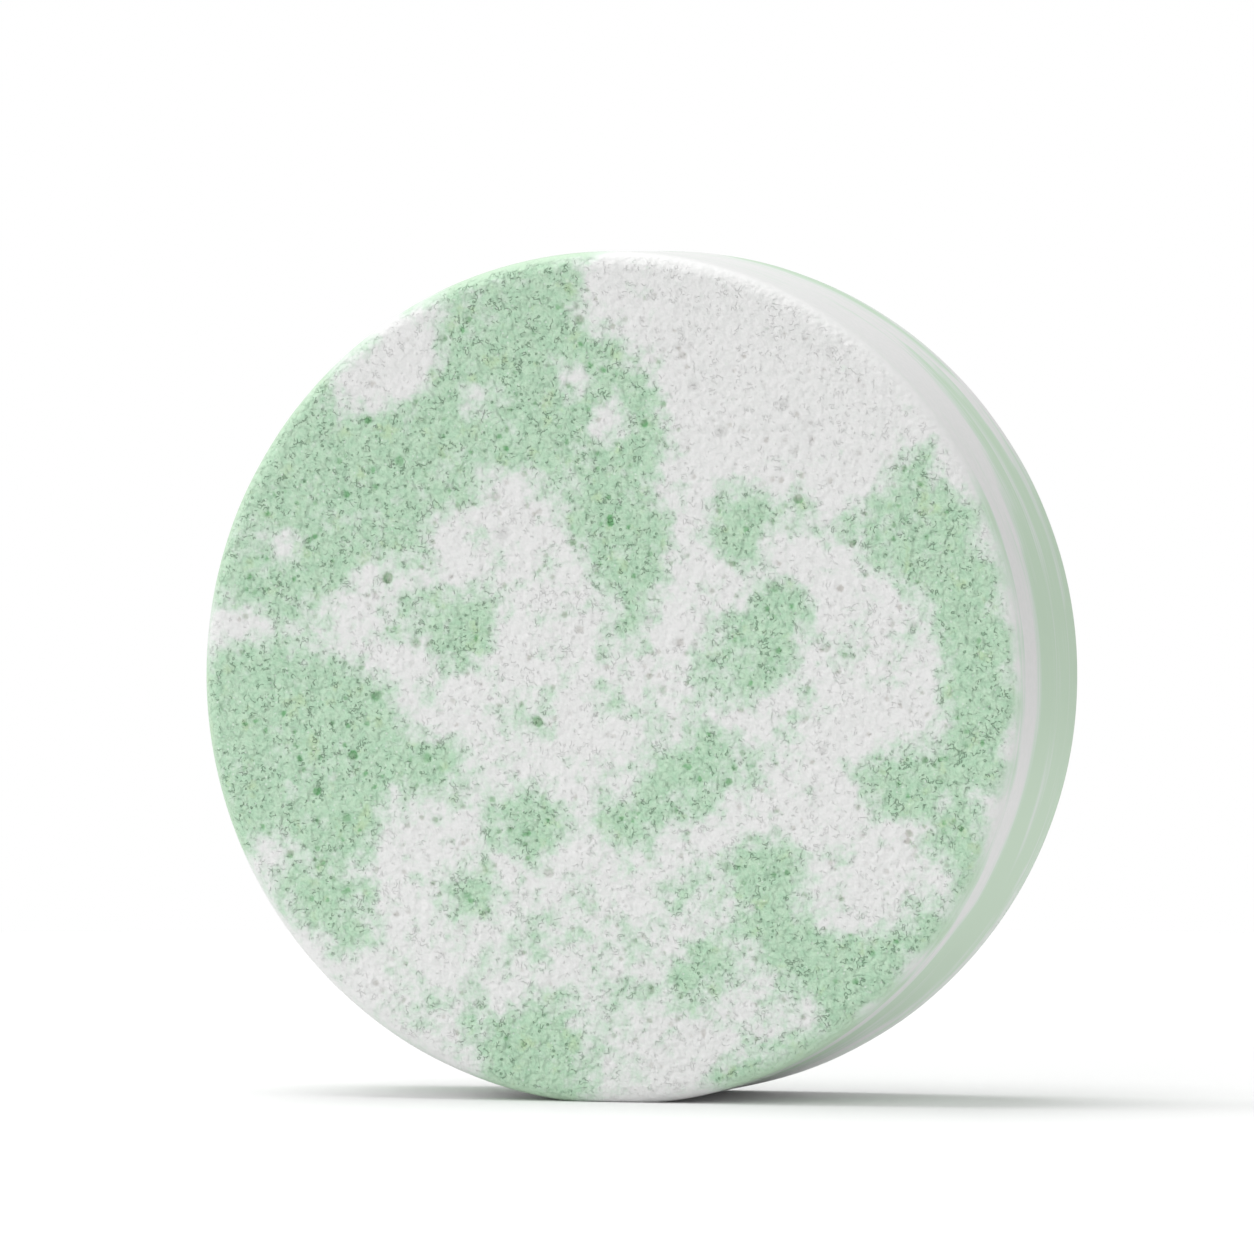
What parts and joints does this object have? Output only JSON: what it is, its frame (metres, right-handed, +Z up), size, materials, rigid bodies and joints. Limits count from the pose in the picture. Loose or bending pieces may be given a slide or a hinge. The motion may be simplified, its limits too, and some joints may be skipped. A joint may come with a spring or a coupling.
{
  "type": "shaving soap puck",
  "caption": "Round two-colour shaving soap puck standing on its edge: a pressed white soap disc with lumps and side streaks of green soap set flush in it.",
  "frame": {"origin": "middle of the small flat at the bottom of the edge that the puck stands on", "axes": "+Y along the puck's axis from the front face to the back face, +Z up, +X to the right seen from the front"},
  "size_m": [0.07, 0.0196, 0.0698],
  "materials": {
    "white_soap": "matte pressed white soap, granular on the faces, smoother on the rim and wall",
    "green_soap": "matte pressed pale green soap, granular with small dark pits",
    "green_streak_soap": "satin smeared green soap, smoothed by the mould wall"
  },
  "bodies": {
    "root": {"white_soap_base": "white_soap", "green_lump_front_upper_left": "green_soap", "green_lump_front_middle_left": "green_soap", "green_lump_front_lower_left": "green_soap", "green_lump_front_centre_right": "green_soap", "green_lump_front_right_edge": "green_soap", "green_lump_front_lower_right": "green_soap", "green_lump_front_bottom": "green_soap", "green_lump_front_bottom_right": "green_soap", "green_lump_front_centre_low": "green_soap", "green_lump_front_low_right": "green_soap", "green_lump_front_centre_band": "green_soap", "green_lump_front_upper_right": "green_soap", "green_lump_front_low_centre": "green_soap", "green_lump_back_upper": "green_soap", "green_lump_back_left": "green_soap", "green_lump_back_lower_left": "green_soap", "green_lump_back_right": "green_soap", "green_lump_back_lower": "green_soap", "green_lump_back_upper_left": "green_soap", "green_streak_right_broad": "green_streak_soap", "green_streak_lower_front": "green_streak_soap", "green_streak_upper_rear": "green_streak_soap", "green_streak_top": "green_streak_soap", "green_streak_left_broad": "green_streak_soap", "green_streak_left_lower": "green_streak_soap"}
  },
  "joints": []
}
